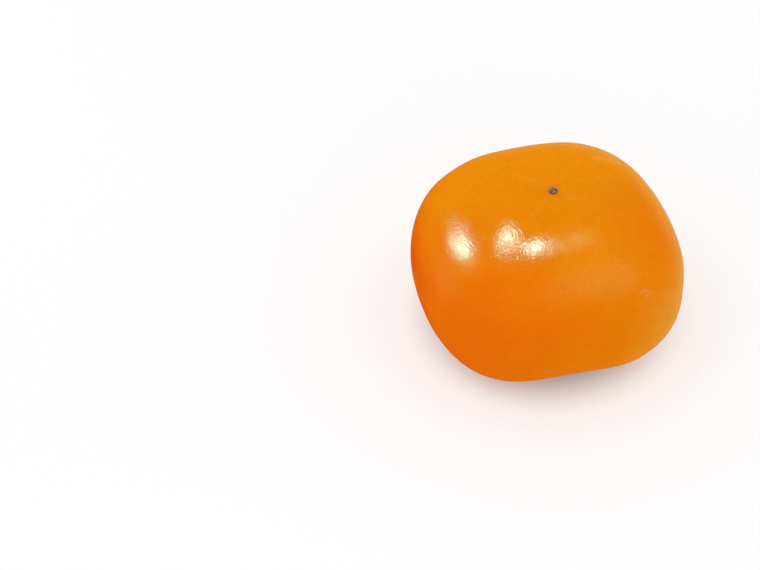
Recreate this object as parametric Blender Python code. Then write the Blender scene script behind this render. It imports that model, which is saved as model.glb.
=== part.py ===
"""A whole persimmon of the flat, four-cornered kind, standing on its stem end with the blossom end up.

Units are metres and +Z is up. The origin lies on the surface that the fruit stands on, under the middle
of its box. Four pieces: the fruit, the leafy calyx under it, the clipped stem stub in the calyx, and the
dried style on top. Every piece starts as a sphere primitive, whose points are moved to the piece's own
surface. A point's azimuth runs from +X towards +Y, and its latitude is 90 degrees at the blossom end.
"""

import math

import bmesh
import bpy
from mathutils import Vector

MM = 0.001
QUARTER = math.pi / 2

# Fruit, seen from above: a round with four soft corners, a little wider along X
CORNERS = 4
MEAN_RADIUS = 41.3 * MM
CORNER_AZIMUTH = math.radians(-30.0)
CORNER_SHARE = 0.04
LOW_CORNER_SHARE = 0.02
WIDE_SHARE = 0.025
UNEVEN_SHARE = 0.009
UNEVEN_AZIMUTH = math.radians(98.0)
UNEVEN_BULGES = 3

# Fruit, seen from the side: heights are from the widest level
CROWN_HEIGHT = 33.0 * MM
CROWN_SQUARENESS = 2.16
BASE_DEPTH = 27.75 * MM
BASE_SQUARENESS = 2.5
STANDING_HEIGHT = 22.85 * MM
APEX_LEAN = Vector((1.0 * MM, -1.3 * MM, 0.0))
CROWN_DIP = 0.8 * MM
CROWN_DIP_RADIUS = 9.0 * MM

# Hollow at the stem end, and the shallow channels from it to the flat sides, where the calyx lobes lie.
# What is left between the channels is a low foot under each corner.
BASIN_DEPTH = 11.8 * MM
BASIN_RADIUS = 19.4 * MM
BASIN_STEEPNESS = 2.8
CHANNEL_DEPTH = 2.2 * MM
CHANNEL_MIDDLE = 25.0 * MM
CHANNEL_LENGTH = 8.0 * MM
FOOT_STEEPNESS = 2

# Pit at the blossom end, with the dried style in it
PIT_DEPTH = 1.1 * MM
PIT_RADIUS = 2.1 * MM
PIT_STEEPNESS = 4.0
STYLE_RADIUS = 1.2 * MM
STYLE_HEIGHT = 0.8 * MM
STYLE_LOBES = 4
STYLE_LOBE_SHARE = 0.2

# Calyx: four broad lobes that point to the flat sides, so the corners stand free between them
CALYX_REACH = 25.0 * MM
CALYX_TIP = 1.5 * MM
CALYX_TIP_WIDTH = math.radians(8.0)
CALYX_NOTCH = 10.0 * MM
CALYX_LOBE_POWER = 2.7
CALYX_LOBE_ROUNDNESS = 0.65
CALYX_SPREAD_POWER = 2.6
CALYX_GAP = 0.35 * MM
CALYX_MARGIN_GAP = 0.15 * MM
CALYX_WAVE = 0.2 * MM
CALYX_WAVES = 12
CALYX_MARGIN = 0.7 * MM
CALYX_LOBE_THICKNESS = 0.85 * MM
CALYX_DISC_THICKNESS = 2.5 * MM
CALYX_DISC_RADIUS = 7.6 * MM
CALYX_DISC_STEEPNESS = 6.0

# Clipped stalk, seated in a socket in the middle of the calyx
STUB_RADIUS = 1.75 * MM
STUB_FLARE = 0.35
STUB_FLARE_POWER = 3
STUB_LENGTH = 3.8 * MM
STUB_SQUARENESS = 8.0
STUB_CUT_SLOPE = 0.12
STUB_RIB_SHARE = 0.06
STUB_RIBS = 5
SOCKET_DEPTH = 1.0 * MM
SOCKET_RADIUS = 3.3 * MM
SOCKET_STEEPNESS = 8.0
PIECE_GAP = 0.3 * MM

# Faces of each piece: round the axis, and from pole to pole
FRUIT_FACES = (72, 42)
CALYX_FACES = (72, 30)
STUB_FACES = (20, 16)
STYLE_FACES = (16, 10)
POLE_CROWDING = 0.7
HALVINGS = 40

SKIN_COLOUR = (0.84, 0.25, 0.004)
CALYX_COLOUR = (0.19, 0.17, 0.07)
STUB_COLOUR = (0.13, 0.075, 0.035)
STYLE_COLOUR = (0.035, 0.018, 0.014)
WAXY_ROUGHNESS = 0.3
LEAFY_ROUGHNESS = 0.75
WOODY_ROUGHNESS = 0.85


def clear_scene():
    """Removes whatever the file holds."""
    for thing in list(bpy.data.objects):
        bpy.data.objects.remove(thing)


def material(name, colour, roughness):
    """A Principled material of one colour."""
    made = bpy.data.materials.new(name)
    made.use_nodes = True
    shader = made.node_tree.nodes["Principled BSDF"]
    shader.inputs["Base Color"].default_value = (*colour, 1.0)
    shader.inputs["Roughness"].default_value = roughness
    shader.inputs["Metallic"].default_value = 0.0
    made.diffuse_color = (*colour, 1.0)
    return made


def bump(distance, radius, steepness=2.0):
    """A smooth bump: 1 at the middle, falling to nothing past the radius."""
    return math.exp(-(abs(distance / radius) ** steepness))


def corner_wave(azimuth):
    """1 along the four corners and -1 in the middle of the four flat sides."""
    return math.cos(CORNERS * (azimuth - CORNER_AZIMUTH))


def plan_radius(azimuth, latitude):
    """Radius of the fruit's widest outline, with corners that grow stronger towards the base."""
    low = max(0.0, -math.sin(latitude))
    corners = (CORNER_SHARE + LOW_CORNER_SHARE * low) * corner_wave(azimuth)
    wide = WIDE_SHARE * math.cos(2 * azimuth)
    uneven = UNEVEN_SHARE * math.cos(UNEVEN_BULGES * (azimuth - UNEVEN_AZIMUTH))
    return MEAN_RADIUS * (1 + corners + wide + uneven)


def crown_hollow(out):
    """Depth of the dip and the pit at the blossom end, at a distance from the middle."""
    return CROWN_DIP * bump(out, CROWN_DIP_RADIUS) + PIT_DEPTH * bump(out, PIT_RADIUS, PIT_STEEPNESS)


def base_hollow(azimuth, out):
    """Depth of the basin at the stem end and of the channels that lead from it to the flat sides."""
    basin = BASIN_DEPTH * bump(out, BASIN_RADIUS, BASIN_STEEPNESS)
    foot = ((1 + corner_wave(azimuth)) / 2) ** FOOT_STEEPNESS
    return basin + CHANNEL_DEPTH * (1 - foot) * bump(out - CHANNEL_MIDDLE, CHANNEL_LENGTH)


def fruit_point(azimuth, latitude):
    """A point of the skin, from the middle of the widest level."""
    crown = latitude >= 0
    height = CROWN_HEIGHT if crown else BASE_DEPTH
    squareness = CROWN_SQUARENESS if crown else BASE_SQUARENESS
    across = math.cos(latitude) / plan_radius(azimuth, latitude)
    along = abs(math.sin(latitude)) / height
    reach = (across**squareness + along**squareness) ** (-1 / squareness)
    out = reach * math.cos(latitude)
    z = reach * math.sin(latitude)
    point = Vector((out * math.cos(azimuth), out * math.sin(azimuth), z))
    if crown:
        point += APEX_LEAN * (z / CROWN_HEIGHT) ** 2
        point.z -= crown_hollow(out)
    else:
        point.z += base_hollow(azimuth, out)
    return point


def underside_height(azimuth, out):
    """Height of the fruit's underside at a distance from its axis, found by halving the latitude."""
    low = -QUARTER
    high = 0.0
    for _ in range(HALVINGS):
        middle = (low + high) / 2
        if fruit_point(azimuth, middle).xy.length < out:
            low = middle
        else:
            high = middle
    return fruit_point(azimuth, low).z


def shaped_sphere(name, faces, place, surface):
    """An object made from a sphere primitive: place(azimuth, polar angle) says where each point goes."""
    mesh = bpy.data.meshes.new(name)
    work = bmesh.new()
    bmesh.ops.create_uvsphere(work, u_segments=faces[0], v_segments=faces[1], radius=1.0)
    for vertex in work.verts:
        x, y, z = vertex.co
        vertex.co = place(math.atan2(y, x), math.acos(max(-1.0, min(1.0, z))))
    bmesh.ops.recalc_face_normals(work, faces=work.faces)
    work.to_mesh(mesh)
    work.free()
    mesh.materials.append(surface)
    mesh.shade_smooth()
    made = bpy.data.objects.new(name, mesh)
    bpy.context.scene.collection.objects.link(made)
    return made


def crowded_latitude(polar):
    """Latitude of a ring of the fruit, with the rings closer together near both poles."""
    share = polar / math.pi
    share -= POLE_CROWDING * math.sin(2 * math.pi * share) / (2 * math.pi)
    return math.pi * (0.5 - share)


def flatten_resting_spots(fruit):
    """Cuts the four lowest corners level: the small flat spots that the fruit rests on."""
    work = bmesh.new()
    work.from_mesh(fruit.data)
    bmesh.ops.bisect_plane(
        work,
        geom=work.verts[:] + work.edges[:] + work.faces[:],
        plane_co=(0.0, 0.0, -STANDING_HEIGHT),
        plane_no=(0.0, 0.0, -1.0),
        clear_outer=True,
    )
    rims = [edge for edge in work.edges if edge.is_boundary]
    bmesh.ops.holes_fill(work, edges=rims)
    for edge in rims:
        edge.smooth = False
    work.to_mesh(fruit.data)
    work.free()


def make_fruit():
    """Skin and flesh, grown as one solid."""

    def place(azimuth, polar):
        return fruit_point(azimuth, crowded_latitude(polar))

    skin = material("persimmon skin", SKIN_COLOUR, WAXY_ROUGHNESS)
    made = shaped_sphere("fruit", FRUIT_FACES, place, skin)
    flatten_resting_spots(made)
    return made


def calyx_reach(azimuth):
    """How far the calyx reaches out: broad lobes with a small point each, and notches down to the disc."""
    off = (azimuth - CORNER_AZIMUTH) % QUARTER - QUARTER / 2
    lobe = (1 - min(1.0, abs(off) / (QUARTER / 2)) ** CALYX_LOBE_POWER) ** CALYX_LOBE_ROUNDNESS
    return CALYX_NOTCH + (CALYX_REACH - CALYX_NOTCH) * lobe + CALYX_TIP * bump(off, CALYX_TIP_WIDTH)


def calyx_point(azimuth, polar):
    """A point of the calyx: its upper face follows the fruit, its lower face is one thickness below."""
    share = math.sin(polar)
    spread = (calyx_reach(azimuth) - CALYX_NOTCH) * share**CALYX_SPREAD_POWER
    out = CALYX_NOTCH * share + spread
    outer = (out / CALYX_REACH) ** 2
    wave = CALYX_WAVE * outer * (1 + math.cos(CALYX_WAVES * azimuth)) / 2
    z = underside_height(azimuth, out) - CALYX_GAP - CALYX_MARGIN_GAP * outer - wave
    if polar > QUARTER:
        disc = bump(out, CALYX_DISC_RADIUS, CALYX_DISC_STEEPNESS)
        thickness = CALYX_LOBE_THICKNESS + (CALYX_DISC_THICKNESS - CALYX_LOBE_THICKNESS) * disc
        thickness -= SOCKET_DEPTH * bump(out, SOCKET_RADIUS, SOCKET_STEEPNESS)
        z -= CALYX_MARGIN * math.sqrt(1 - share**2) + (thickness - CALYX_MARGIN) * (1 - share**2)
    return Vector((out * math.cos(azimuth), out * math.sin(azimuth), z))


def make_calyx():
    """The four-lobed leafy collar, grown as one piece."""
    leaf = material("calyx leaf", CALYX_COLOUR, LEAFY_ROUGHNESS)
    return shaped_sphere("calyx", CALYX_FACES, calyx_point, leaf)


def stub_point(azimuth, polar):
    """A point of the stub: a ribbed rod, wider where it meets the calyx and cut a little askew below."""
    half = STUB_LENGTH / 2
    across = math.sin(polar) / STUB_RADIUS
    along = abs(math.cos(polar)) / half
    reach = (across**STUB_SQUARENESS + along**STUB_SQUARENESS) ** (-1 / STUB_SQUARENESS)
    z = reach * math.cos(polar)
    rise = (z / half + 1) / 2
    flare = 1 + STUB_FLARE * rise**STUB_FLARE_POWER
    rib = 1 + STUB_RIB_SHARE * math.cos(STUB_RIBS * azimuth)
    out = reach * math.sin(polar) * flare * rib
    x = out * math.cos(azimuth)
    seat = calyx_point(0.0, math.pi).z - PIECE_GAP
    return Vector((x, out * math.sin(azimuth), seat - half + z + STUB_CUT_SLOPE * x * (1 - rise)))


def make_stem_stub():
    """The clipped woody stalk."""
    wood = material("stem wood", STUB_COLOUR, WOODY_ROUGHNESS)
    return shaped_sphere("stem_stub", STUB_FACES, stub_point, wood)


def style_point(azimuth, polar):
    """A point of the dried style: it sits just clear of the pit's floor, with a low round top."""
    widest = STYLE_RADIUS * (1 + STYLE_LOBE_SHARE * math.cos(STYLE_LOBES * azimuth))
    out = widest * math.sin(polar)
    bottom = CROWN_HEIGHT - crown_hollow(out if polar > QUARTER else widest) + PIECE_GAP
    top = STYLE_HEIGHT * max(0.0, math.cos(polar))
    return Vector((out * math.cos(azimuth), out * math.sin(azimuth), bottom + top)) + APEX_LEAN


def make_style():
    """The dark dried tip that the flower leaves on the blossom end."""
    dried = material("dried style", STYLE_COLOUR, WOODY_ROUGHNESS)
    return shaped_sphere("style_remnant", STYLE_FACES, style_point, dried)


def stand_on_origin(fruit, others):
    """Moves all pieces alike, so the fruit stands on z = 0 with the middle of its box over the origin."""
    xs = [vertex.co.x for vertex in fruit.data.vertices]
    ys = [vertex.co.y for vertex in fruit.data.vertices]
    middle = Vector(((min(xs) + max(xs)) / 2, (min(ys) + max(ys)) / 2, -STANDING_HEIGHT))
    for piece in [fruit, *others]:
        piece.location = -middle


clear_scene()
stand_on_origin(make_fruit(), [make_calyx(), make_stem_stub(), make_style()])
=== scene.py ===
import math

import bpy
import numpy as np
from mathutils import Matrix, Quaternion, Vector


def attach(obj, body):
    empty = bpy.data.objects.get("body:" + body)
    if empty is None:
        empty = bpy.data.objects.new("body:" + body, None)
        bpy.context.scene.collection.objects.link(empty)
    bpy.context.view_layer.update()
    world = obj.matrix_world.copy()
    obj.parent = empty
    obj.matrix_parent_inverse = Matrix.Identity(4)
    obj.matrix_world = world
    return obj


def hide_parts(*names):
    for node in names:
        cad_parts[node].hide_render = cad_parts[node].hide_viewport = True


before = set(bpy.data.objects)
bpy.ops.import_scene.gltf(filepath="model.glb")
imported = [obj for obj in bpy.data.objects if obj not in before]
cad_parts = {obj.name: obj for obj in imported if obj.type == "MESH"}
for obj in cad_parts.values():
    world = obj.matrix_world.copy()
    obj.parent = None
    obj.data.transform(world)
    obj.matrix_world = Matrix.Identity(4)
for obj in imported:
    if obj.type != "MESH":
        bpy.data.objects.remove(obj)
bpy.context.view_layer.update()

MM = 0.001
QUARTER = math.pi / 2

# The shapes down to SHIFT are those of the solids. Only the tears and the fine ribs are not.
# Fruit, seen from above: a round with four soft corners, a little wider along X
CORNERS = 4
MEAN_RADIUS = 41.3 * MM
CORNER_AZIMUTH = math.radians(-30.0)
CORNER_SHARE = 0.04
LOW_CORNER_SHARE = 0.02
WIDE_SHARE = 0.025
UNEVEN_SHARE = 0.009
UNEVEN_AZIMUTH = math.radians(98.0)
UNEVEN_BULGES = 3

# Fruit, seen from the side: heights are from the widest level
CROWN_HEIGHT = 33.0 * MM
CROWN_SQUARENESS = 2.16
BASE_DEPTH = 27.75 * MM
BASE_SQUARENESS = 2.5
STANDING_HEIGHT = 22.85 * MM
APEX_LEAN = (1.0 * MM, -1.3 * MM)
CROWN_DIP = 0.8 * MM
CROWN_DIP_RADIUS = 9.0 * MM

# Hollow at the stem end, and the channels from it to the flat sides, with a foot under each corner
BASIN_DEPTH = 11.8 * MM
BASIN_RADIUS = 19.4 * MM
BASIN_STEEPNESS = 2.8
CHANNEL_DEPTH = 2.2 * MM
CHANNEL_MIDDLE = 25.0 * MM
CHANNEL_LENGTH = 8.0 * MM
FOOT_STEEPNESS = 2

# Pit at the blossom end, with the dried style in it, which has a torn top
PIT_DEPTH = 1.1 * MM
PIT_RADIUS = 2.1 * MM
PIT_STEEPNESS = 2.6
STYLE_RADIUS = 1.2 * MM
STYLE_HEIGHT = 0.8 * MM
STYLE_LOBES = 4
STYLE_LOBE_SHARE = 0.2
STYLE_TEARS = 3
STYLE_TEAR_PHASE = 1.0
STYLE_TEAR_SHARE = 0.3

# Calyx: four broad lobes that point to the flat sides
CALYX_REACH = 25.0 * MM
CALYX_TIP = 1.5 * MM
CALYX_TIP_WIDTH = math.radians(8.0)
CALYX_NOTCH = 10.0 * MM
CALYX_LOBE_POWER = 2.7
CALYX_LOBE_ROUNDNESS = 0.65
CALYX_SPREAD_POWER = 2.6
CALYX_GAP = 0.35 * MM
CALYX_MARGIN_GAP = 0.15 * MM
CALYX_WAVE = 0.2 * MM
CALYX_WAVES = 12
CALYX_MARGIN = 0.7 * MM
CALYX_LOBE_THICKNESS = 0.85 * MM
CALYX_DISC_THICKNESS = 2.5 * MM
CALYX_DISC_RADIUS = 7.6 * MM
CALYX_DISC_STEEPNESS = 6.0

# Clipped stalk, seated in a socket in the middle of the calyx
STUB_RADIUS = 1.75 * MM
STUB_FLARE = 0.35
STUB_FLARE_POWER = 3
STUB_LENGTH = 3.8 * MM
STUB_SQUARENESS = 8.0
STUB_CUT_SLOPE = 0.12
STUB_RIBS = 5
STUB_RIB_SHARE = 0.06
STUB_FINE_RIBS = 17
STUB_FINE_RIB_SHARE = 0.02
STUB_FINE_RIB_TWIST = 3
SOCKET_DEPTH = 1.0 * MM
SOCKET_RADIUS = 3.3 * MM
SOCKET_STEEPNESS = 8.0
PIECE_GAP = 0.3 * MM

POLE_CROWDING = 0.7
HALVINGS = 40
SHIFT = (-0.285 * MM, -0.215 * MM, STANDING_HEIGHT)

# Faces of each piece: round the axis, and from pole to pole
FRUIT_GRID = (384, 220)
CALYX_GRID = (480, 120)
STUB_GRID = (80, 64)
STYLE_GRID = (48, 36)

# Low swellings of the skin. Each row is a share and two crossing waves: radians a mm along X, Y and Z,
# and a phase
SWELL = 0.07 * MM
SWELL_WAVES = (
    (1.0, (0.29, 0.0, 0.0, 1.0), (0.0, 0.25, 0.0, 2.0)),
    (1.0, (0.17, 0.0, 0.24, 0.7), (0.0, 0.21, 0.0, QUARTER - 0.5)),
    (0.5, (0.47, -0.31, 0.0, 0.8), (0.0, 0.0, 0.39, 0.2)),
)
SWELL_START = -21.0 * MM
SWELL_FADE = 8.0 * MM

# Relief of the crown: four faint seams from the apex towards the corners, and puckers round the pit
CROWN_START = 0.25
SEAM_DEPTH = 0.05 * MM
SEAM_WIDTH = 0.55 * MM
SEAM_START = 3.0 * MM
SEAM_FADE_IN = 2.0 * MM
SEAM_END = 17.0 * MM
SEAM_FADE_OUT = 9.0 * MM
PUCKER = 0.05 * MM
PUCKERS = 8
PUCKER_RADIUS = 4.5 * MM
PUCKER_LENGTH = 2.0 * MM

# Raised veins of the calyx, as shares of half a lobe's angle, and its crinkled rim: waves, phase and share
VEIN_ANGLES = (0.0, 0.36, -0.36, 0.68, -0.68)
VEIN_HEIGHT = 0.13 * MM
VEIN_WIDTH = 0.42 * MM
VEIN_ROOT = 1.15
VEIN_TAPER = 0.6
VEIN_BEND = 0.22
VEIN_SWAY = 0.1
VEIN_SWAY_WAVES = 7
VEIN_START = 6.0 * MM
VEIN_FADE = 2.0 * MM
VEIN_RIM_FADE = 0.25
SIDE_VEIN_SHARE = 0.7
RIM_CRINKLE = 0.25 * MM
RIM_WAVES = ((23, 1.0, 1.0), (41, 0.0, 0.6))
RIM_SHARPNESS = 8


def bump(distance, radius, steepness=2.0):
    """A smooth bump: 1 at the middle, falling to nothing past the radius."""
    return np.exp(-(np.abs(distance / radius) ** steepness))


def corner_wave(azimuth):
    """1 along the four corners and -1 in the middle of the four flat sides."""
    return np.cos(CORNERS * (azimuth - CORNER_AZIMUTH))


def corner_offset(azimuth):
    """Angle to the nearest corner."""
    return (azimuth - CORNER_AZIMUTH + QUARTER / 2) % QUARTER - QUARTER / 2


def lobe_offset(azimuth):
    """Angle to the middle of the nearest lobe of the calyx."""
    return (azimuth - CORNER_AZIMUTH) % QUARTER - QUARTER / 2


def plan_radius(azimuth, latitude):
    """Radius of the fruit's widest outline."""
    low = np.maximum(0.0, -np.sin(latitude))
    corners = (CORNER_SHARE + LOW_CORNER_SHARE * low) * corner_wave(azimuth)
    wide = WIDE_SHARE * np.cos(2 * azimuth)
    uneven = UNEVEN_SHARE * np.cos(UNEVEN_BULGES * (azimuth - UNEVEN_AZIMUTH))
    return MEAN_RADIUS * (1 + corners + wide + uneven)


def crown_hollow(out):
    """Depth of the dip and the pit at the blossom end."""
    return CROWN_DIP * bump(out, CROWN_DIP_RADIUS) + PIT_DEPTH * bump(out, PIT_RADIUS, PIT_STEEPNESS)


def base_hollow(azimuth, out):
    """Depth of the basin at the stem end and of the channels towards the flat sides."""
    basin = BASIN_DEPTH * bump(out, BASIN_RADIUS, BASIN_STEEPNESS)
    foot = ((1 + corner_wave(azimuth)) / 2) ** FOOT_STEEPNESS
    return basin + CHANNEL_DEPTH * (1 - foot) * bump(out - CHANNEL_MIDDLE, CHANNEL_LENGTH)


def fruit_points(azimuth, latitude):
    """Points of the skin, from the middle of the widest level, as an array of x, y, z rows."""
    crown = latitude >= 0
    height = np.where(crown, CROWN_HEIGHT, BASE_DEPTH)
    squareness = np.where(crown, CROWN_SQUARENESS, BASE_SQUARENESS)
    across = np.abs(np.cos(latitude)) / plan_radius(azimuth, latitude)
    along = np.abs(np.sin(latitude)) / height
    reach = (across**squareness + along**squareness) ** (-1 / squareness)
    out = reach * np.cos(latitude)
    z = reach * np.sin(latitude)
    lean = np.where(crown, (z / CROWN_HEIGHT) ** 2, 0.0)
    x = out * np.cos(azimuth) + APEX_LEAN[0] * lean
    y = out * np.sin(azimuth) + APEX_LEAN[1] * lean
    z = z + np.where(crown, -crown_hollow(out), base_hollow(azimuth, out))
    return np.stack([x, y, z], axis=-1)


def underside_height(azimuth, out):
    """Height of the fruit's underside at a distance from its axis, found by halving the latitude."""
    low = np.full(np.shape(out), -QUARTER)
    high = np.zeros(np.shape(out))
    for _ in range(HALVINGS):
        middle = (low + high) / 2
        points = fruit_points(azimuth, middle)
        nearer = np.hypot(points[..., 0], points[..., 1]) < out
        low = np.where(nearer, middle, low)
        high = np.where(nearer, high, middle)
    return fruit_points(azimuth, low)[..., 2]


def grid_angles(grid):
    """Azimuth and polar angle of each point of a grid mesh: a pole, the rings and the other pole."""
    around, rings = grid
    ring_angles = np.arange(1, rings) * math.pi / rings
    round_angles = np.arange(around) * 2 * math.pi / around
    polar, azimuth = np.meshgrid(ring_angles, round_angles, indexing="ij")
    return (
        np.concatenate([[0.0], azimuth.ravel(), [0.0]]),
        np.concatenate([[0.0], polar.ravel(), [math.pi]]),
    )


def grid_mesh(name, grid, place):
    """A closed mesh of rings between two poles: place(azimuth, polar angle) gives its points."""
    around, rings = grid
    points = place(*grid_angles(grid)) + np.array(SHIFT)
    last = len(points) - 1
    last_ring = 1 + (rings - 2) * around
    faces = []
    for k in range(around):
        n = (k + 1) % around
        faces.append((0, 1 + k, 1 + n))
        for ring in range(rings - 2):
            a = 1 + ring * around
            faces.append((a + k, a + around + k, a + around + n, a + n))
        faces.append((last_ring + k, last, last_ring + n))
    mesh = bpy.data.meshes.new(name)
    mesh.from_pydata(points.tolist(), [], faces)
    mesh.shade_smooth()
    mesh.update()
    made = bpy.data.objects.new(name, mesh)
    bpy.context.scene.collection.objects.link(made)
    return made


def swellings(points):
    """Height of the low swellings of the skin, as a share of their usual height."""
    place = np.column_stack([points / MM, np.ones(len(points))])
    return sum(
        share * np.sin(place @ first) * np.sin(place @ second) for share, first, second in SWELL_WAVES
    )


def fruit_place(azimuth, polar):
    """The skin: the solid's surface with low swellings, the four faint seams and the puckers at the apex."""
    share = polar / math.pi
    share = share - POLE_CROWDING * np.sin(2 * math.pi * share) / (2 * math.pi)
    latitude = math.pi * (0.5 - share)
    points = fruit_points(azimuth, latitude)
    out = np.hypot(points[:, 0] - APEX_LEAN[0], points[:, 1] - APEX_LEAN[1])
    crown = np.clip(np.sin(latitude) / CROWN_START, 0, 1)
    seam = bump(out * corner_offset(azimuth), SEAM_WIDTH)
    seam = seam * np.clip((out - SEAM_START) / SEAM_FADE_IN, 0, 1)
    seam = seam * np.clip((SEAM_END - out) / SEAM_FADE_OUT, 0, 1)
    pucker = np.cos(PUCKERS * (azimuth - CORNER_AZIMUTH)) * bump(out - PUCKER_RADIUS, PUCKER_LENGTH)
    above = np.clip((points[:, 2] - SWELL_START) / SWELL_FADE, 0, 1)
    lift = SWELL * swellings(points) * above - crown * (SEAM_DEPTH * seam + PUCKER * pucker)
    direction = points / np.linalg.norm(points, axis=1, keepdims=True)
    points = points + direction * lift[:, None]
    points[:, 2] = np.maximum(points[:, 2], -STANDING_HEIGHT)
    return points


def calyx_reach(azimuth):
    """How far the calyx reaches out."""
    off = lobe_offset(azimuth)
    lobe = (1 - np.minimum(1.0, np.abs(off) / (QUARTER / 2)) ** CALYX_LOBE_POWER) ** CALYX_LOBE_ROUNDNESS
    return CALYX_NOTCH + (CALYX_REACH - CALYX_NOTCH) * lobe + CALYX_TIP * bump(off, CALYX_TIP_WIDTH)


def calyx_veins(azimuth, out):
    """Height of the raised veins: a rib to each lobe's tip and two pairs that fan out beside it."""
    off = lobe_offset(azimuth)
    along = np.clip((out - CALYX_DISC_RADIUS) / (CALYX_REACH - CALYX_DISC_RADIUS), 0, 1)
    width = VEIN_WIDTH * (VEIN_ROOT - VEIN_TAPER * along)
    height = np.zeros_like(out)
    for angle in VEIN_ANGLES:
        strength = SIDE_VEIN_SHARE if angle else 1.0
        sway = VEIN_SWAY * np.sin(VEIN_SWAY_WAVES * along + angle)
        middle = angle * (QUARTER / 2) * (1 - VEIN_BEND * along + sway)
        height = np.maximum(height, strength * bump(out * (off - middle), width))
    return height * np.clip((out - VEIN_START) / VEIN_FADE, 0, 1) * (1 - VEIN_TAPER * along)


def calyx_place(azimuth, polar):
    """The calyx: the solid's surface with raised veins and a finely crinkled rim."""
    share = np.sin(polar)
    crinkle = sum(part * np.sin(waves * azimuth + phase) for waves, phase, part in RIM_WAVES)
    rim = RIM_CRINKLE * crinkle * share**RIM_SHARPNESS
    out = CALYX_NOTCH * share + (calyx_reach(azimuth) - CALYX_NOTCH) * share**CALYX_SPREAD_POWER + rim
    outer = (out / CALYX_REACH) ** 2
    wave = CALYX_WAVE * outer * (1 + np.cos(CALYX_WAVES * azimuth)) / 2
    z = underside_height(azimuth, out) - CALYX_GAP - CALYX_MARGIN_GAP * outer - wave
    disc = bump(out, CALYX_DISC_RADIUS, CALYX_DISC_STEEPNESS)
    thickness = CALYX_LOBE_THICKNESS + (CALYX_DISC_THICKNESS - CALYX_LOBE_THICKNESS) * disc
    thickness = thickness - SOCKET_DEPTH * bump(out, SOCKET_RADIUS, SOCKET_STEEPNESS)
    inner = 1 - share**2
    below = CALYX_MARGIN * np.sqrt(np.maximum(0.0, inner)) + (thickness - CALYX_MARGIN) * inner
    below = below + VEIN_HEIGHT * calyx_veins(azimuth, out) * np.clip(inner / VEIN_RIM_FADE, 0, 1)
    z = z - np.where(polar > QUARTER, below, 0.0)
    return np.stack([out * np.cos(azimuth), out * np.sin(azimuth), z], axis=-1)


def stub_place(azimuth, polar):
    """The clipped stalk, with fine ridges along it."""
    half = STUB_LENGTH / 2
    across = np.sin(polar) / STUB_RADIUS
    along = np.abs(np.cos(polar)) / half
    reach = (across**STUB_SQUARENESS + along**STUB_SQUARENESS) ** (-1 / STUB_SQUARENESS)
    z = reach * np.cos(polar)
    rise = (z / half + 1) / 2
    flare = 1 + STUB_FLARE * rise**STUB_FLARE_POWER
    rib = 1 + STUB_RIB_SHARE * np.cos(STUB_RIBS * azimuth)
    rib = rib + STUB_FINE_RIB_SHARE * np.sin(STUB_FINE_RIBS * azimuth + STUB_FINE_RIB_TWIST * rise)
    out = reach * np.sin(polar) * flare * rib
    x = out * np.cos(azimuth)
    seat = calyx_place(np.array([0.0]), np.array([math.pi]))[0, 2] - PIECE_GAP
    return np.stack([x, out * np.sin(azimuth), seat - half + z + STUB_CUT_SLOPE * x * (1 - rise)], axis=-1)


def style_place(azimuth, polar):
    """The dried style in its pit, with a torn, uneven top."""
    widest = STYLE_RADIUS * (1 + STYLE_LOBE_SHARE * np.cos(STYLE_LOBES * azimuth))
    out = widest * np.sin(polar)
    bottom = CROWN_HEIGHT - crown_hollow(np.where(polar > QUARTER, out, widest)) + PIECE_GAP
    torn = 1 + STYLE_TEAR_SHARE * np.sin(STYLE_TEARS * azimuth + STYLE_TEAR_PHASE) * np.sin(polar)
    top = STYLE_HEIGHT * np.maximum(0.0, np.cos(polar)) * torn
    x = out * np.cos(azimuth) + APEX_LEAN[0]
    return np.stack([x, out * np.sin(azimuth) + APEX_LEAN[1], bottom + top], axis=-1)


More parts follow.
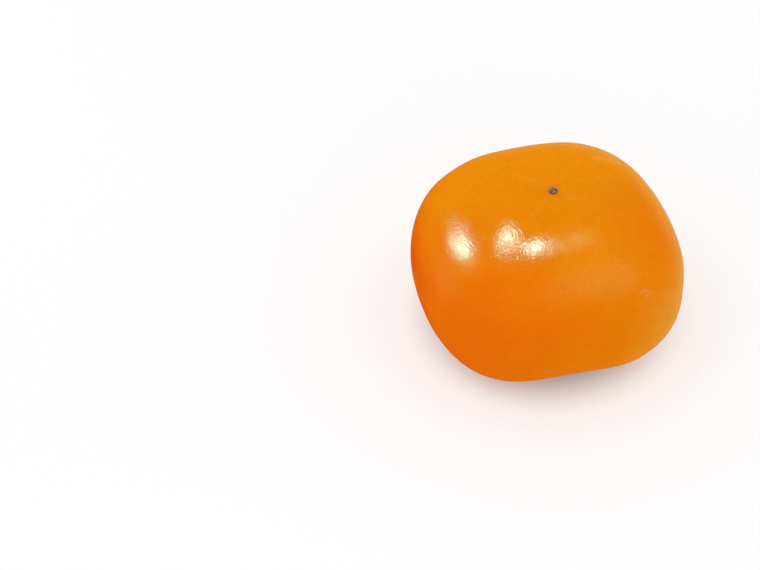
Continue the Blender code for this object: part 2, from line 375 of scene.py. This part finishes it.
class Nodes:
    """A node tree under construction. Most calls add nodes and give back an output of the last one."""

    def __init__(self, tree, coordinates, scale):
        self.tree = tree
        source = self.add("ShaderNodeTexCoord").outputs[coordinates]
        self.place = self.vector("SCALE", source, scale=scale)
        self.x, self.y, self.z = self.split(self.place)

    def add(self, kind, **settings):
        made = self.tree.nodes.new(kind)
        for name, value in settings.items():
            setattr(made, name, value)
        return made

    def feed(self, socket, value):
        """Links a socket to an output, or sets its value."""
        if isinstance(value, bpy.types.NodeSocket):
            self.tree.links.new(value, socket)
        else:
            socket.default_value = value

    def split(self, place):
        parts = self.add("ShaderNodeSeparateXYZ")
        self.feed(parts.inputs[0], place)
        return tuple(parts.outputs)

    def number(self, operation, *values, clamp=False):
        made = self.add("ShaderNodeMath", operation=operation, use_clamp=clamp)
        for socket, value in zip(made.inputs, values):
            self.feed(socket, value)
        return made.outputs[0]

    def product(self, first, *others):
        for other in others:
            first = self.number("MULTIPLY", first, other)
        return first

    def vector(self, operation, first, second=None, scale=None):
        made = self.add("ShaderNodeVectorMath", operation=operation)
        self.feed(made.inputs[0], first)
        if second is not None:
            self.feed(made.inputs[1], second)
        if scale is not None:
            self.feed(made.inputs["Scale"], scale)
        return made.outputs["Value" if operation in ("LENGTH", "DISTANCE", "DOT_PRODUCT") else "Vector"]

    def flat(self):
        """The place with no height."""
        return self.vector("MULTIPLY", self.place, (1.0, 1.0, 0.0))

    def ramp(self, value, low, high, start=0.0, end=1.0, kind="SMOOTHSTEP"):
        """A step of value: start up to low, end from high on."""
        made = self.add("ShaderNodeMapRange", interpolation_type=kind)
        for socket, given in zip(made.inputs, (value, low, high, start, end)):
            self.feed(socket, given)
        return made.outputs[0]

    def fade(self, value, low, high):
        """1 up to low, falling smoothly to 0 at high."""
        return self.ramp(value, low, high, 1.0, 0.0)

    def noise(self, scale, detail=2.0, roughness=0.5, place=None, output="Fac"):
        made = self.add("ShaderNodeTexNoise")
        self.feed(made.inputs["Vector"], self.place if place is None else place)
        for name, value in (("Scale", scale), ("Detail", detail), ("Roughness", roughness)):
            self.feed(made.inputs[name], value)
        return made.outputs[output]

    def wander(self, scale, detail, reach):
        """A smooth random number round 0, up to half the reach to either side."""
        return self.product(self.number("SUBTRACT", self.noise(scale, detail), 0.5), reach)

    def cells(self, scale, feature="F1"):
        """Distance from the middle of the nearest cell, or from the nearest edge between cells."""
        made = self.add("ShaderNodeTexVoronoi", feature=feature)
        self.feed(made.inputs["Vector"], self.place)
        self.feed(made.inputs["Scale"], scale)
        return made.outputs["Distance"]

    def mix(self, share, first, second, blend="MIX"):
        made = self.add("ShaderNodeMix", data_type="RGBA", blend_type=blend)
        self.feed(made.inputs[0], share)
        for socket, colour in ((made.inputs[6], first), (made.inputs[7], second)):
            self.feed(socket, colour if isinstance(colour, bpy.types.NodeSocket) else (*colour, 1.0))
        return made.outputs[2]

    def stain(self, colour, share, strength, tint):
        """The colour, with the tint over it by share times strength."""
        return self.mix(self.product(share, strength), colour, tint)

    def attribute(self, name):
        return self.add("ShaderNodeAttribute", attribute_name=name).outputs["Fac"]

    def spot(self, middle, radius, soft):
        """1 inside a ball round a point of the surface, falling to 0 over the soft rim."""
        return self.fade(self.vector("DISTANCE", self.place, middle), radius, radius + soft)

    def streak(self, place, start, end, width, soft):
        """1 along a short mark between two points of the surface, falling to 0 over its soft edge."""
        along = Vector(end) - Vector(start)
        rest = self.vector("SUBTRACT", place, start)
        share = self.vector("DOT_PRODUCT", rest, tuple(along / along.length_squared))
        share = self.number("MULTIPLY", share, 1.0, clamp=True)
        aside = self.vector("SUBTRACT", rest, self.vector("SCALE", tuple(along), scale=share))
        return self.fade(self.vector("LENGTH", aside), width, width + soft)

    def bump(self, height, distance):
        made = self.add("ShaderNodeBump")
        self.feed(made.inputs["Strength"], 1.0)
        self.feed(made.inputs["Distance"], distance)
        self.feed(made.inputs["Height"], height)
        return made.outputs[0]


class Surface(Nodes):
    """The nodes of a new material, whose places are in mm."""

    def __init__(self, name):
        self.material = bpy.data.materials.new(name)
        self.material.use_nodes = True
        super().__init__(self.material.node_tree, "Object", 1 / MM)
        self.shader = self.tree.nodes["Principled BSDF"]

    def finish(self, colour, roughness, normal, **sockets):
        """Sets the shader. A socket's name has _ for each space."""
        self.feed(self.shader.inputs["Base Color"], colour)
        self.feed(self.shader.inputs["Roughness"], roughness)
        if normal is not None:
            self.feed(self.shader.inputs["Normal"], normal)
            self.feed(self.shader.inputs["Coat Normal"], normal)
        for name, value in sockets.items():
            self.shader.inputs[name.replace("_", " ")].default_value = value
        return self.material


# Colours of the skin
SKIN_FRONT = (0.88, 0.284, 0.0005)
SKIN_BACK = (0.91, 0.322, 0.0005)
# Painted shade: the deeper orange of the left side
SKIN_LEFT_SHADE = (0.87, 0.166, 0.0005)
# Painted shade and a painted red reflection on the far-left rim, low down
SKIN_RIM_SHADE_AND_REFLECTION = (0.80, 0.046, 0.001)
SKIN_MOTTLE = (0.80, 0.135, 0.0005)
SKIN_GRAIN = (0.78, 0.150, 0.0005)
SKIN_BANDS = (0.84, 0.150, 0.0005)
SKIN_DOTS = (0.90, 0.38, 0.03)
SKIN_SEAMS = (0.90, 0.37, 0.03)
SKIN_TAN = (0.66, 0.31, 0.09)
SKIN_PIT = (0.30, 0.13, 0.05)
SKIN_LOW_SHADE = (0.88, 0.89, 1.0)
SKIN_BASIN = (0.80, 0.33, 0.02)

# Where the colours of the skin change, in mm: the first number is where the change starts
BACK_Y = (-4.0, 26.0)
# Where the painted shade of the left side starts and ends
LEFT_SHADE_DIRECTION = (-0.5, -0.85, 0.0)
LEFT_SHADE_REACH = (10.0, 48.0)
# Where the painted shade and red reflection of the far-left rim fade out
RIM_SHADE_X = (-44.0, -31.0)
RIM_SHADE_Z = (24.0, 48.0)
CROWN_Z = (30.0, 40.0)
LOW_SHADE_Z = (14.0, 54.0)
BASIN_EDGE = (14.0, 27.0)
BASIN_START_Z = (1.5, 7.0)
BASIN_END_Z = (20.0, 30.0)

# The same for the seams: from their middle line, and from the apex to their start and end
SEAM_TINT_WIDTH = (0.1, 1.3)
SEAM_TINT_START = (2.5, 5.0)
SEAM_TINT_END = (8.0, 19.0)

# The same for what lies round the apex: the tan ring, the pit and the dull skin
TAN_EDGE = (1.6, 2.7)
PIT_EDGE = (0.7, 1.3)
DULL_EDGE = (2.4, 4.4)

# Deeper patches of the skin on the right shoulder and the front flank, partly painted shade: middle, radius
# and soft rim in mm, strength and colour
SKIN_PATCHES_AND_SHADE = (
    ((36.0, -8.0, 44.0), 4.0, 26.0, 0.55, (0.86, 0.180, 0.0005)),
    ((18.0, -33.0, 32.0), 5.0, 15.0, 0.45, (0.86, 0.185, 0.0005)),
)

# Small marks, and one painted sheen: both ends, width and soft edge in mm, strength and colour
SKIN_MARKS_AND_SHEEN = (
    ((26.57, -28.08, 38.01), (28.62, -26.78, 37.74), 0.15, 0.60, 0.42, (0.90, 0.36, 0.10)),
    ((28.10, -27.92, 36.56), (30.10, -26.47, 36.36), 0.20, 0.70, 0.36, (0.90, 0.34, 0.08)),
    ((19.57, -24.35, 46.47), (22.61, -23.45, 45.82), 0.05, 0.36, 0.42, (0.64, 0.15, 0.01)),
    ((2.71, -32.06, 43.41), (2.95, -32.00, 43.38), 0.25, 0.60, 0.45, (0.82, 0.16, 0.03)),
    ((27.78, -2.10, 48.83), (28.10, -2.20, 48.70), 0.30, 0.70, 0.50, (0.86, 0.11, 0.01)),
    # Painted sheen: a pale streak standing in for a grazing reflection along the seam
    ((14.71, 16.06, 51.69), (21.71, 17.63, 48.18), 0.20, 2.40, 0.30, (0.90, 0.42, 0.10)),
    ((-2.83, -39.05, 15.35), (0.54, -38.22, 14.47), 0.15, 0.80, 0.35, (0.60, 0.28, 0.10)),
    ((23.87, -31.41, 33.99), (24.00, -31.35, 33.95), 0.12, 0.30, 0.65, (0.36, 0.12, 0.01)),
    ((9.65, 35.81, 38.04), (7.13, 36.79, 36.66), 0.15, 0.75, 0.38, (0.90, 0.38, 0.10)),
    ((-14.75, 27.22, 44.23), (-16.57, 24.02, 46.31), 0.05, 0.36, 0.42, (0.62, 0.15, 0.01)),
    ((-40.60, 8.28, 31.63), (-39.77, 5.90, 34.35), 0.08, 0.42, 0.42, (0.62, 0.14, 0.01)),
    ((-40.77, -4.47, 18.62), (-40.71, -4.82, 18.62), 0.20, 0.45, 0.60, (0.38, 0.12, 0.02)),
    ((38.97, 8.13, 17.28), (38.23, 10.11, 16.61), 0.20, 0.75, 0.38, (0.88, 0.36, 0.12)),
    ((-7.08, 38.32, 24.22), (-7.41, 38.24, 24.22), 0.18, 0.42, 0.60, (0.38, 0.12, 0.02)),
    ((23.27, 25.06, 42.85), (23.05, 25.27, 42.86), 0.25, 0.60, 0.50, (0.84, 0.12, 0.02)),
    ((-32.85, 27.11, 19.88), (-34.96, 24.98, 20.61), 0.15, 0.75, 0.36, (0.88, 0.34, 0.10)),
)
MARK_RAGGEDNESS = 1.9

# Crinkle of the skin: its height, how strong its net of cells is, and its strength low down and on the crown
CRINKLE = 0.07 * MM
CRINKLE_NET = 0.30
CRINKLE_Z = (42.0, 52.0)
CRINKLE_STRENGTH = (1.05, 0.80)


def skin_ground(n):
    """The skin's orange: yellower at the back, deeper towards the left as painted shade, with painted shade
    and a painted red reflection on the far-left rim.
    """
    cloud = n.wander(0.05, 3.0, 26.0)
    left = n.number("ADD", n.vector("DOT_PRODUCT", n.place, LEFT_SHADE_DIRECTION), cloud)
    colour = n.mix(n.ramp(n.y, *BACK_Y), SKIN_FRONT, SKIN_BACK)
    # Deeper orange towards the left: painted shade
    colour = n.mix(n.ramp(left, *LEFT_SHADE_REACH), colour, SKIN_LEFT_SHADE)
    # Deeper patches, partly painted shade on the right shoulder and the front flank
    for middle, radius, soft, strength, tint in SKIN_PATCHES_AND_SHADE:
        colour = n.stain(colour, n.spot(middle, radius, soft), strength, tint)
    # Painted shade and a painted red reflection on the far-left rim
    rim_shade = n.product(n.fade(n.number("ADD", n.x, cloud), *RIM_SHADE_X), n.fade(n.z, *RIM_SHADE_Z))
    return n.stain(colour, rim_shade, 0.90, SKIN_RIM_SHADE_AND_REFLECTION)


def skin_clouding(n, colour):
    """Fine unevenness of the colour: mottle, grain, level bands and pale dots."""
    colour = n.stain(colour, n.ramp(n.noise(0.55, 4.0, 0.6), 0.40, 0.70), 0.20, SKIN_MOTTLE)
    colour = n.stain(colour, n.ramp(n.noise(1.5, 2.0, 0.6), 0.42, 0.66), 0.20, SKIN_GRAIN)
    level = n.vector("MULTIPLY", n.place, (0.12, 0.12, 1.0))
    colour = n.stain(colour, n.ramp(n.noise(0.8, 3.0, 0.55, level), 0.45, 0.65), 0.12, SKIN_BANDS)
    dots = n.product(n.fade(n.cells(0.75), 0.05, 0.16), n.ramp(n.noise(0.30, 1.0), 0.45, 0.60))
    return n.stain(colour, dots, 0.30, SKIN_DOTS)


def skin_seams(n, colour, turned, out, crown):
    """Faint pale lines from the apex towards the corners, two of them clearer than the others."""
    along, across = (n.number("ABSOLUTE", part) for part in n.split(turned)[:2])
    clearer = n.ramp(n.number("SUBTRACT", along, across), -1.0, 1.0, 0.35, 1.0)
    aside = n.number("ADD", n.number("MINIMUM", along, across), n.wander(0.25, 2.0, 1.8))
    line = n.fade(n.number("ABSOLUTE", aside), *SEAM_TINT_WIDTH)
    start = n.ramp(out, *SEAM_TINT_START)
    end = n.fade(out, *SEAM_TINT_END)
    strength = n.ramp(n.noise(0.16, 2.0), 0.38, 0.62, 0.16, 0.36)
    return n.mix(n.product(line, start, end, crown, strength, clearer), colour, SKIN_SEAMS)


def skin_marks_and_sheen(n, colour):
    """Scuffs, scratches and specks with ragged edges, and a pale streak of painted sheen at the back right
    of the crown.
    """
    waver = n.vector("SUBTRACT", n.noise(1.3, 2.0, 0.6, output="Color"), (0.5, 0.5, 0.5))
    place = n.vector("ADD", n.place, n.vector("SCALE", waver, scale=MARK_RAGGEDNESS))
    for start, end, width, soft, strength, tint in SKIN_MARKS_AND_SHEEN:
        colour = n.stain(colour, n.streak(place, start, end, width, soft), strength, tint)
    return colour


def skin_base(n, colour):
    """The skin gets a little darker towards the base, which is painted shade, and yellower in the basin
    round the calyx.
    """
    # Darker towards the base: painted shade
    colour = n.mix(n.fade(n.z, *LOW_SHADE_Z), colour, SKIN_LOW_SHADE, "MULTIPLY")
    basin = n.product(n.ramp(n.z, *BASIN_START_Z), n.fade(n.vector("LENGTH", n.flat()), *BASIN_EDGE))
    return n.stain(colour, n.product(basin, n.fade(n.z, *BASIN_END_Z)), 0.55, SKIN_BASIN)


def skin_normal(n):
    """The waxy skin's fine crinkle, calmer on the crown."""
    net = n.product(n.ramp(n.cells(0.95, "DISTANCE_TO_EDGE"), 0.0, 0.28), CRINKLE_NET)
    relief = n.number("ADD", net, n.noise(1.15, 2.0, 0.60))
    return n.bump(n.product(relief, n.ramp(n.z, *CRINKLE_Z, *CRINKLE_STRENGTH)), CRINKLE)


def skin_material():
    """Thin waxy skin over translucent flesh, dull only round the pit."""
    n = Surface("persimmon skin")
    apex = ((APEX_LEAN[0] + SHIFT[0]) / MM, (APEX_LEAN[1] + SHIFT[1]) / MM, 0.0)
    around = n.add("ShaderNodeVectorRotate", rotation_type="Z_AXIS")
    n.feed(around.inputs["Vector"], n.flat())
    n.feed(around.inputs["Center"], apex)
    n.feed(around.inputs["Angle"], -CORNER_AZIMUTH)
    turned = n.vector("SUBTRACT", around.outputs[0], apex)
    out = n.vector("LENGTH", turned)
    ragged = n.number("ADD", out, n.wander(1.2, 3.0, 1.3))
    crown = n.ramp(n.z, *CROWN_Z)

    colour = skin_seams(n, skin_clouding(n, skin_ground(n)), turned, out, crown)
    colour = n.stain(colour, n.product(n.fade(ragged, *TAN_EDGE), crown), 0.65, SKIN_TAN)
    colour = n.stain(colour, n.product(n.fade(ragged, *PIT_EDGE), crown), 0.75, SKIN_PIT)
    colour = skin_base(n, skin_marks_and_sheen(n, colour))
    dull = n.product(n.fade(ragged, *DULL_EDGE), crown)
    n.feed(n.shader.inputs["Coat Weight"], n.number("SUBTRACT", 1.0, dull))
    return n.finish(
        colour,
        n.ramp(n.noise(0.35, 3.0), 0.3, 0.7, 0.30, 0.40),
        skin_normal(n),
        Subsurface_Weight=0.25,
        Subsurface_Radius=(1.0, 0.35, 0.10),
        Subsurface_Scale=4.0 * MM,
        Specular_IOR_Level=0.0,
        Coat_Roughness=0.09,
        Coat_IOR=1.45,
    )


# Colours of the calyx, the stub and the style, and the wood's rings in radians a mm
LEAF_MIDDLE = (0.13, 0.155, 0.045)
LEAF_OUTER = (0.26, 0.20, 0.085)
LEAF_PATCH = (0.33, 0.24, 0.11)
LEAF_DRY = (0.11, 0.055, 0.022)
LEAF_NET = (0.40, 0.33, 0.17)
LEAF_VEIN = (0.42, 0.35, 0.17)
LEAF_FLECK = (0.07, 0.04, 0.02)
BARK_DARK = (0.075, 0.045, 0.022)
BARK_PALE = (0.20, 0.125, 0.06)
WOOD_PALE = (0.36, 0.25, 0.12)
WOOD_DARK = (0.25, 0.16, 0.075)
WOOD_PITH = (0.12, 0.07, 0.03)
WOOD_RINGS = 11.0
STYLE_DARK = (0.055, 0.024, 0.028)
STYLE_PALE = (0.52, 0.25, 0.11)


def calyx_material():
    """Leathery, half-dried sepals: olive in the middle, tan and brown towards the rim, with pale veins."""
    n = Surface("calyx leaf")
    colour = n.mix(n.ramp(n.vector("LENGTH", n.flat()), 7.0, 24.0), LEAF_MIDDLE, LEAF_OUTER)
    colour = n.stain(colour, n.ramp(n.noise(0.22, 4.0, 0.6), 0.42, 0.68), 0.75, LEAF_PATCH)
    uneven = n.number("SUBTRACT", n.noise(0.5, 3.0), 0.55)
    dry = n.number("ADD", n.ramp(n.attribute("rim"), 0.80, 1.0), uneven)
    colour = n.mix(n.number("MULTIPLY", dry, 0.85, clamp=True), colour, LEAF_DRY)
    net = n.fade(n.cells(0.85, "DISTANCE_TO_EDGE"), 0.0, 0.10)
    colour = n.stain(colour, net, 0.22, LEAF_NET)
    colour = n.stain(colour, n.attribute("vein"), 0.55, LEAF_VEIN)
    colour = n.stain(colour, n.ramp(n.noise(2.2, 2.0), 0.62, 0.72), 0.5, LEAF_FLECK)
    height = n.number("ADD", n.product(net, 0.6), n.noise(1.3, 4.0, 0.6))
    roughness = n.ramp(n.noise(0.4, 2.0), 0.3, 0.7, 0.55, 0.80)
    return n.finish(colour, roughness, n.bump(height, 0.12 * MM), Specular_IOR_Level=0.35)


def stub_material():
    """Grey-brown bark, with a paler cut end that shows wood and pith."""
    n = Surface("stem wood")
    stretched = n.vector("MULTIPLY", n.place, (1.0, 1.0, 0.25))
    bark = n.mix(n.ramp(n.noise(2.4, 4.0, 0.6, stretched), 0.35, 0.65), BARK_DARK, BARK_PALE)
    out = n.vector("LENGTH", n.flat())
    rings = n.number("SINE", n.product(out, WOOD_RINGS))
    wood = n.mix(n.ramp(rings, -1.0, 1.0), WOOD_PALE, WOOD_DARK)
    wood = n.mix(n.fade(out, 0.25, 0.55), wood, WOOD_PITH)
    cut = n.product(n.fade(n.z, 1.1, 1.35), n.fade(out, 1.30, 1.55))
    roughness = n.ramp(n.noise(1.0), 0.3, 0.7, 0.75, 0.92)
    normal = n.bump(n.noise(3.0, 4.0, 0.65, stretched), 0.15 * MM)
    return n.finish(n.mix(cut, bark, wood), roughness, normal, Specular_IOR_Level=0.25)


def style_material():
    """Dark dried tissue with a violet tinge and paler torn fibres."""
    n = Surface("dried style")
    colour = n.mix(n.ramp(n.noise(1.6, 3.0), 0.36, 0.60), STYLE_DARK, STYLE_PALE)
    roughness = n.ramp(n.noise(1.0), 0.3, 0.7, 0.6, 0.85)
    return n.finish(colour, roughness, n.bump(n.noise(3.5, 3.0, 0.6), 0.20 * MM), Specular_IOR_Level=0.0)


def keep_values(piece, name, values):
    """Stores one number a point, for the piece's material to read."""
    made = piece.data.attributes.new(name, "FLOAT", "POINT")
    made.data.foreach_set("value", np.asarray(values, np.float32))


def dress(piece, material, node):
    """Gives a piece its material and its body, and hides the solid of the node that it stands in for."""
    piece.data.materials.append(material)
    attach(piece, "root")
    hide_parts(node)


fruit = grid_mesh("fruit_skin", FRUIT_GRID, fruit_place)
dress(fruit, skin_material(), "fruit")

calyx = grid_mesh("calyx_leaf", CALYX_GRID, calyx_place)
azimuths, polars = grid_angles(CALYX_GRID)
places = calyx_place(azimuths, polars)
keep_values(calyx, "rim", np.sin(polars))
keep_values(calyx, "vein", calyx_veins(azimuths, np.hypot(places[:, 0], places[:, 1])))
dress(calyx, calyx_material(), "calyx")

stub = grid_mesh("stem_wood", STUB_GRID, stub_place)
dress(stub, stub_material(), "stem_stub")

style = grid_mesh("style_tip", STYLE_GRID, style_place)
dress(style, style_material(), "style_remnant")

# Floor: it glows a little, and less near the fruit, which paints a soft shadow round it. The reach is in mm
FLOOR_SIZE = 8.0
FLOOR_GREYS = ((0.50, 0.50, 0.50), (0.52, 0.52, 0.52))
FLOOR_GLOW_AND_SHADOW = (0.18, 0.51)
PAINTED_SHADOW_REACH = (24.0, 45.0)

# Surroundings: how bright the horizon and the sky above are, and the colours that the wax reflects
AMBIENT_LOW = 1.08
AMBIENT_HIGH = 0.81
REFLECTED_LEFT = (0.75, 0.11, 0.01)
REFLECTED_RIGHT = (0.80, 0.56, 0.18)
REFLECTED_RIGHT_DIRECTION = (0.87, 0.5, 0.0)
REFLECTED_RIGHT_REACH = (0.2, 0.75)
REFLECTED_LOW_Z = (-0.45, 0.0)
REFLECTED_LOW_SHARE = (1.0, 0.08)

LIGHT_DISTANCE = 1.5
LIGHT_AIM = Vector((0.0, 0.0, 0.03))
WHITE = (1.0, 1.0, 1.0)
CREAM = (0.22, 1.0, 0.86)
GOLD = (0.15, 1.0, 0.45)

# Lights as seen from the fruit: azimuth, elevation, width, height and turn in degrees, strength, colour
# and the rays that see them
LIGHTS = {
    "key": (205, 60, 50, 50, 0, 0.9, WHITE, "diffuse"),
    "window_left": (160.5, 25.8, 13, 8, 48, 120.0, CREAM, "glossy"),
    "window_left_glow": (165, 24.5, 34, 18, 30, 9.0, GOLD, "glossy"),
    "window_high": (161.5, 65.5, 22, 11, -156, 52.0, CREAM, "glossy"),
    "window_high_glow": (165, 64.5, 34, 20, -155, 10.0, GOLD, "glossy"),
    "window_top": (254.5, 82.0, 17, 10, 44, 105.0, CREAM, "glossy"),
    "window_top_glow": (255, 82.3, 26, 18, 46, 8.0, GOLD, "glossy"),
    "ceiling_glow": (343.5, 71.8, 21, 12, 48, 4.6, GOLD, "glossy"),
    "front_glow": (314, 30, 45, 42, 0, 1.9, GOLD, "glossy"),
    "side_glow": (172, -4, 38, 24, 60, 0.9, GOLD, "glossy"),
}

CAMERA_ELEVATION = math.radians(45.5)
CAMERA_DISTANCE = 0.9
CAMERA_LENS = 134.0
CAMERA_SENSOR = 36.0
CAMERA_TARGET = Vector((-51.41 * MM, 12.38 * MM, 0.0))


def make_floor():
    """A plain pale floor, which the wax doesn't reflect. Its glow fades near the fruit, a painted shadow."""
    half = FLOOR_SIZE / 2
    corners = [(-half, -half, 0), (half, -half, 0), (half, half, 0), (-half, half, 0)]
    mesh = bpy.data.meshes.new("floor")
    mesh.from_pydata(corners, [], [(0, 1, 2, 3)])
    made = bpy.data.objects.new("floor", mesh)
    bpy.context.scene.collection.objects.link(made)
    n = Surface("pale floor")
    shade = n.mix(n.ramp(n.noise(0.002, 2.0), 0.3, 0.7), *FLOOR_GREYS)
    # Less glow near the fruit: a painted shadow
    glow_with_painted_shadow = n.ramp(n.vector("LENGTH", n.place), *PAINTED_SHADOW_REACH, *FLOOR_GLOW_AND_SHADOW)
    n.feed(n.shader.inputs["Emission Strength"], glow_with_painted_shadow)
    made.data.materials.append(n.finish(shade, 0.9, None, Specular_IOR_Level=0.0))
    made.visible_glossy = False


def make_light(name, azimuth, elevation, width, height, turn, strength, colour, rays):
    """An oval light that faces the fruit, seen only by diffuse or only by glossy rays."""
    direction = Vector((
        math.cos(math.radians(elevation)) * math.cos(math.radians(azimuth)),
        math.cos(math.radians(elevation)) * math.sin(math.radians(azimuth)),
        math.sin(math.radians(elevation)),
    ))
    data = bpy.data.lights.new(name, "AREA")
    data.shape = "ELLIPSE"
    data.size = 2 * LIGHT_DISTANCE * math.tan(math.radians(width) / 2)
    data.size_y = 2 * LIGHT_DISTANCE * math.tan(math.radians(height) / 2)
    data.energy = strength * data.size * data.size_y
    data.color = colour
    made = bpy.data.objects.new(name, data)
    made.location = direction * LIGHT_DISTANCE + LIGHT_AIM
    made.rotation_mode = "QUATERNION"
    made.rotation_quaternion = Quaternion(direction, math.radians(turn)) @ direction.to_track_quat("Z", "Y")
    made.visible_diffuse = rays == "diffuse"
    made.visible_glossy = rays == "glossy"
    bpy.context.scene.collection.objects.link(made)


def make_world():
    """Even white surroundings. Reflections see them dimmer and tinted, and dimmest on the left."""
    world = bpy.data.worlds.new("studio")
    bpy.context.scene.world = world
    world.use_nodes = True
    n = Nodes(world.node_tree, "Generated", 1.0)
    across = n.vector("DOT_PRODUCT", n.place, REFLECTED_RIGHT_DIRECTION)
    right = n.ramp(across, *REFLECTED_RIGHT_REACH, kind="LINEAR")
    low = n.ramp(n.z, *REFLECTED_LOW_Z, *REFLECTED_LOW_SHARE, kind="LINEAR")
    reflected = n.mix(n.product(right, low), REFLECTED_LEFT, REFLECTED_RIGHT)
    ambient = n.ramp(n.z, 0.0, 1.0, AMBIENT_LOW, AMBIENT_HIGH, kind="LINEAR")
    glossy = n.add("ShaderNodeLightPath").outputs["Is Glossy Ray"]
    n.feed(n.tree.nodes["Background"].inputs["Color"], n.mix(glossy, ambient, reflected))


def make_camera():
    """The camera, at the photograph's viewing angle."""
    data = bpy.data.cameras.new("camera")
    data.lens = CAMERA_LENS
    data.sensor_width = CAMERA_SENSOR
    made = bpy.data.objects.new("camera", data)
    back = Vector((0.0, -math.cos(CAMERA_ELEVATION), math.sin(CAMERA_ELEVATION)))
    made.location = CAMERA_TARGET + back * CAMERA_DISTANCE
    made.rotation_mode = "QUATERNION"
    made.rotation_quaternion = back.to_track_quat("Z", "Y")
    bpy.context.scene.collection.objects.link(made)
    bpy.context.scene.camera = made


make_floor()
make_world()
for light_name, values in LIGHTS.items():
    make_light(light_name, *values)
make_camera()
bpy.context.scene.view_settings.view_transform = "Standard"
bpy.context.scene.view_settings.look = "None"
